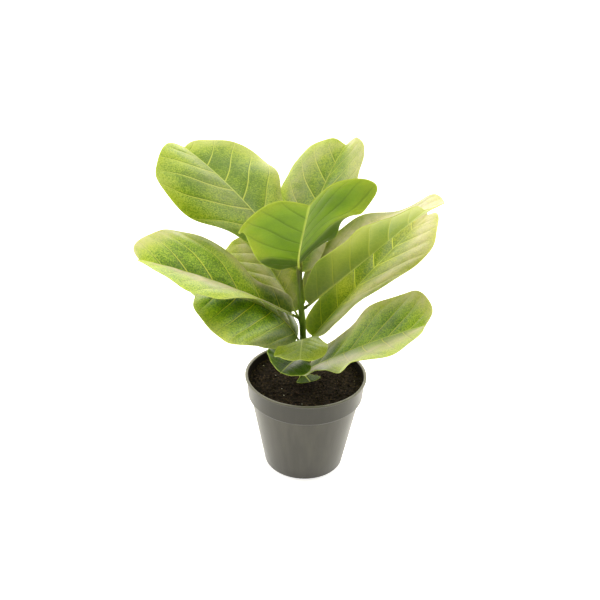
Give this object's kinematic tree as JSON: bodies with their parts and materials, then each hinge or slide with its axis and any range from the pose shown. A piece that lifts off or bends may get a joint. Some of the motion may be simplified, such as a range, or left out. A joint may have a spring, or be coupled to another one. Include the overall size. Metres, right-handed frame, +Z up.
{
  "type": "potted fiddle leaf fig",
  "caption": "Young fiddle leaf fig with large violin-shaped leaves on a short upright stem, rooted in dark soil in a tapered grey plastic nursery pot with a stepped rim band",
  "frame": {"origin": "Centre of the pot's underside, on the surface the pot stands on", "axes": "+Z up along the pot's axis; -Y is the plant's front, seen in the picture; +X is to the right seen from the front"},
  "size_m": [0.2836, 0.2696, 0.3413],
  "materials": {
    "pot_plastic": "satin moulded taupe-grey polypropylene",
    "soil": "loose dark peat potting soil",
    "stem_bark": "smooth green young bark",
    "leaf_blade": "leathery waxy leaf, semi-gloss"
  },
  "bodies": {
    "root": {"pot": "pot_plastic", "potting_soil": "soil", "stem": "stem_bark", "leaf_upper_left": "leaf_blade", "leaf_top_back": "leaf_blade", "leaf_front_centre": "leaf_blade", "leaf_upper_right": "leaf_blade", "leaf_right_middle": "leaf_blade", "leaf_right_low": "leaf_blade", "leaf_left_middle": "leaf_blade", "leaf_left_low": "leaf_blade", "leaf_back_left": "leaf_blade", "leaf_low_front": "leaf_blade", "leaf_soil_front": "leaf_blade", "leaf_foot": "leaf_blade"}
  },
  "joints": []
}
